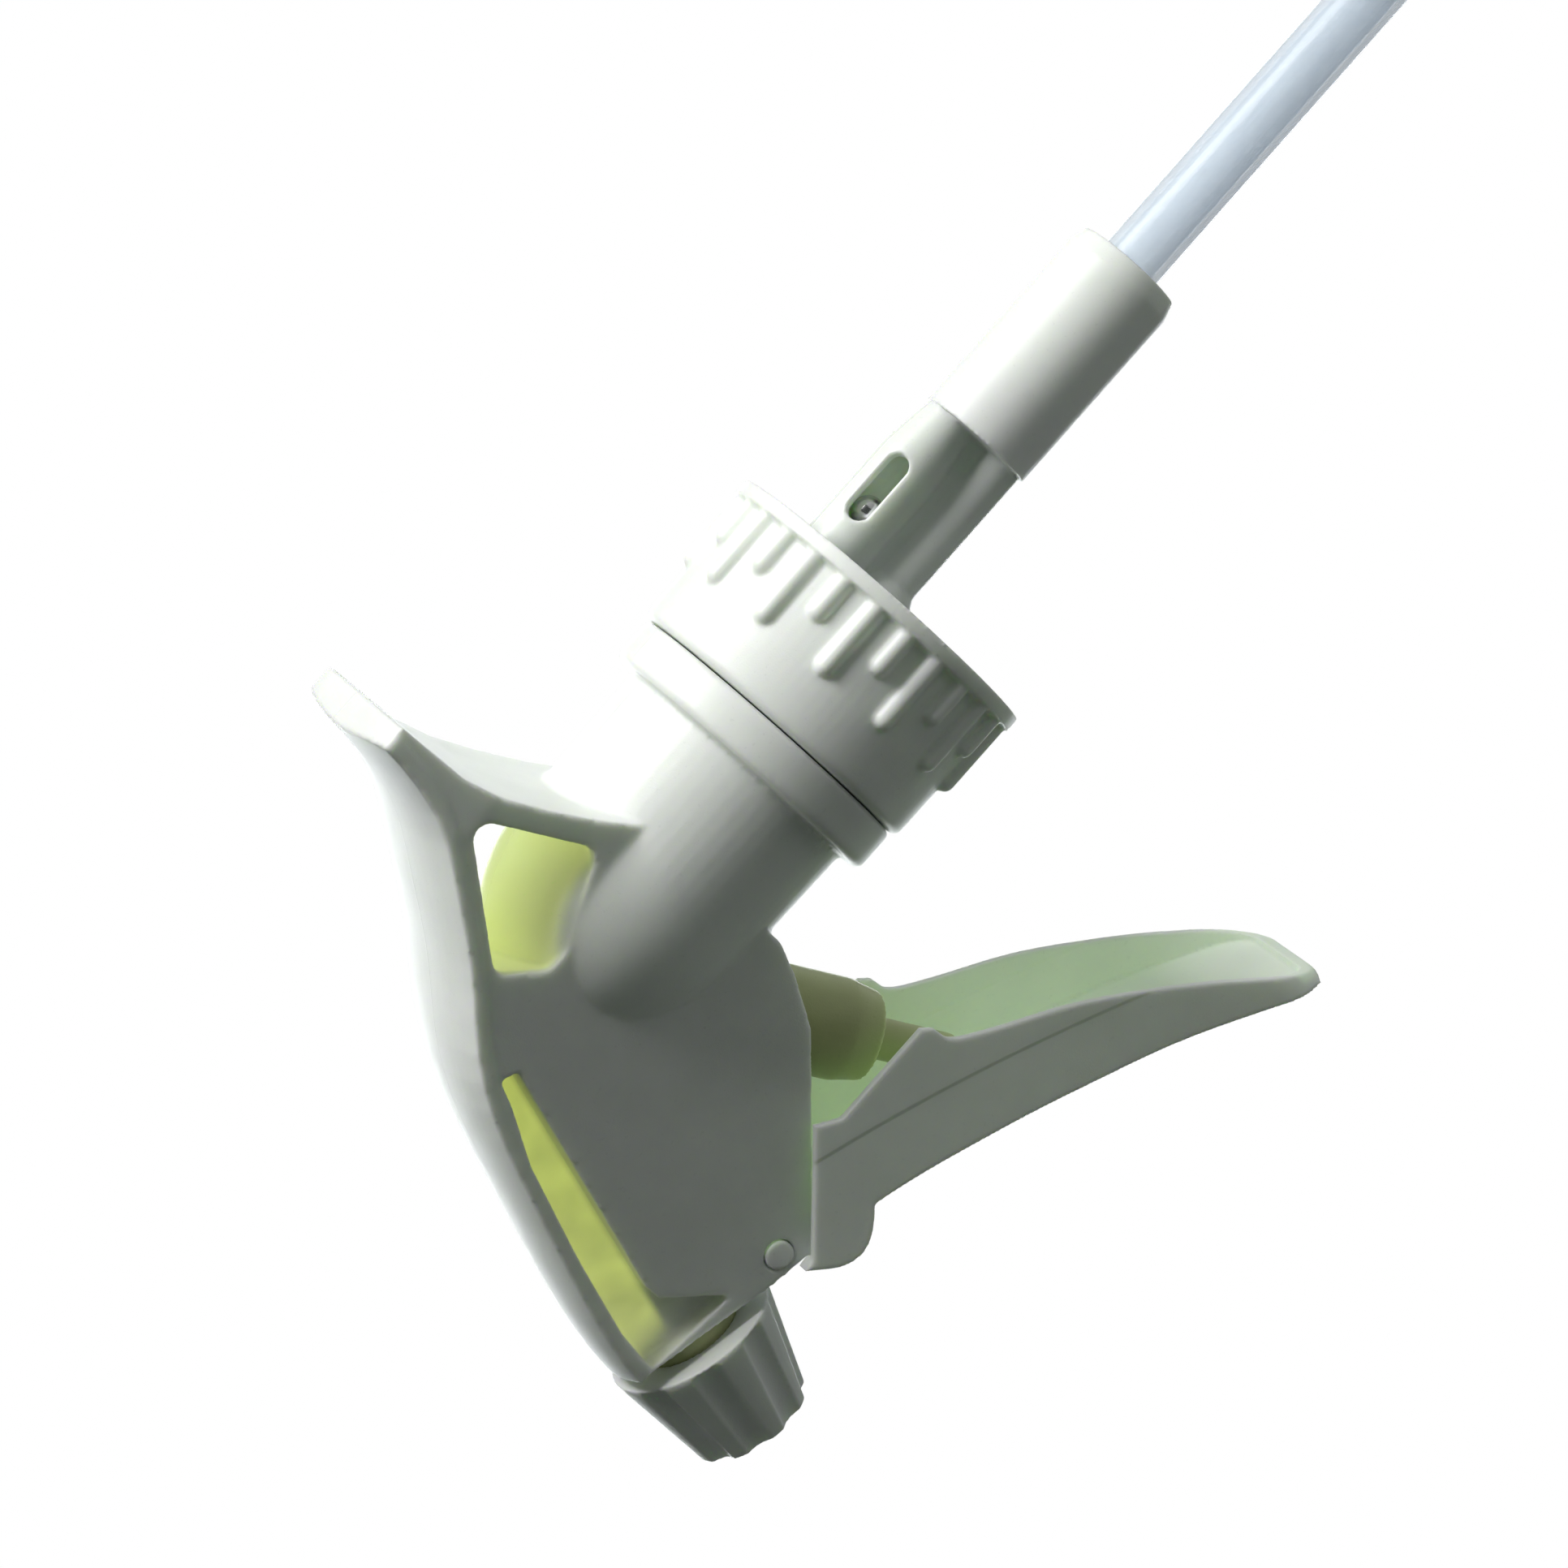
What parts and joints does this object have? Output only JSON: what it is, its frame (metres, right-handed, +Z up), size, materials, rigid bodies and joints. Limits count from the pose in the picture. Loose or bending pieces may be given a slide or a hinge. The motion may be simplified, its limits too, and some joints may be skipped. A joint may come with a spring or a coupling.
{
  "type": "trigger sprayer head",
  "caption": "Trigger sprayer head with ribbed screw closure, fluted twist nozzle, lever-driven piston pump, ball-valved intake stem and long straight dip tube.",
  "frame": {"origin": "centre of the closure's open rim, on the neck axis", "axes": "+Z up along the neck axis from the bottle into the head, -Y the way the nozzle faces, +X to the right of a person looking along +Y"},
  "size_m": [0.0332, 0.0902, 0.2447],
  "materials": {
    "closure_plastic": "satin moulded polypropylene, off-white",
    "housing_plastic": "satin moulded polypropylene, off-white, slightly translucent",
    "trigger_plastic": "satin moulded polypropylene, off-white",
    "nozzle_plastic": "satin moulded polypropylene, off-white",
    "pump_plastic": "natural translucent polypropylene, yellow-green cast",
    "stem_plastic": "natural translucent polyethylene",
    "sleeve_plastic": "satin off-white plastic",
    "tube_plastic": "clear bluish polyethylene tube",
    "seal_rubber": "soft natural elastomer",
    "gasket_foam": "closed-cell foam",
    "spring_steel": "bright drawn stainless wire",
    "ball_steel": "polished stainless ball"
  },
  "bodies": {
    "head": {"housing": "housing_plastic", "pump_body": "pump_plastic", "body_seal": "seal_rubber", "vent_seal": "seal_rubber", "nozzle_seal": "seal_rubber", "swirl_core": "pump_plastic", "neck_gasket": "gasket_foam", "intake_stem": "stem_plastic", "stem_sleeve": "sleeve_plastic", "dip_tube": "tube_plastic", "return_spring": "spring_steel", "discharge_spring": "spring_steel"},
    "closure": {"closure": "closure_plastic"},
    "trigger": {"trigger": "trigger_plastic"},
    "piston": {"piston": "pump_plastic", "piston_seal": "seal_rubber"},
    "nozzle": {"nozzle_cap": "nozzle_plastic", "orifice_insert": "pump_plastic"},
    "inlet_ball": {"inlet_ball": "ball_steel"},
    "bypass_ball": {"bypass_ball": "ball_steel"},
    "discharge_valve": {"discharge_valve": "seal_rubber"}
  },
  "joints": [
    {"name": "closure_spin", "type": "hinge", "parent": "head", "child": "closure", "pos_m": [0, 0, 0], "axis": [0, 0, 1], "continuous": true},
    {"name": "trigger_pivot", "type": "hinge", "parent": "head", "child": "trigger", "pos_m": [0, -0.0337, 0.0513], "axis": [1, 0, 0], "range_deg": [0, 22], "stiffness_Nm_per_rad": 0.3, "springref_deg": -17.19},
    {"name": "piston_slide", "type": "slide", "parent": "head", "child": "piston", "axis": [0, 0.8988, 0.4384], "range_m": [0, 0.0094], "deforming": ["return_spring"]},
    {"name": "nozzle_turn", "type": "hinge", "parent": "head", "child": "nozzle", "pos_m": [0, -0.03494, 0.06216], "axis": [0, -0.9744, 0.225], "continuous": true},
    {"name": "inlet_ball_lift", "type": "slide", "parent": "head", "child": "inlet_ball", "axis": [0, 0, 1], "range_m": [0, 0.0015]},
    {"name": "bypass_ball_drop", "type": "slide", "parent": "head", "child": "bypass_ball", "axis": [0, 0, -1], "range_m": [0, 0.0057]},
    {"name": "discharge_lift", "type": "slide", "parent": "head", "child": "discharge_valve", "axis": [0, -0.9744, 0.225], "range_m": [0, 0.0008], "stiffness_N_per_m": 4, "springref_m": -0.003, "deforming": ["discharge_spring"]}
  ],
  "couplings": [
    {"joint": "piston_slide", "follows": "trigger_pivot", "m_per_rad": 0.0243}
  ]
}
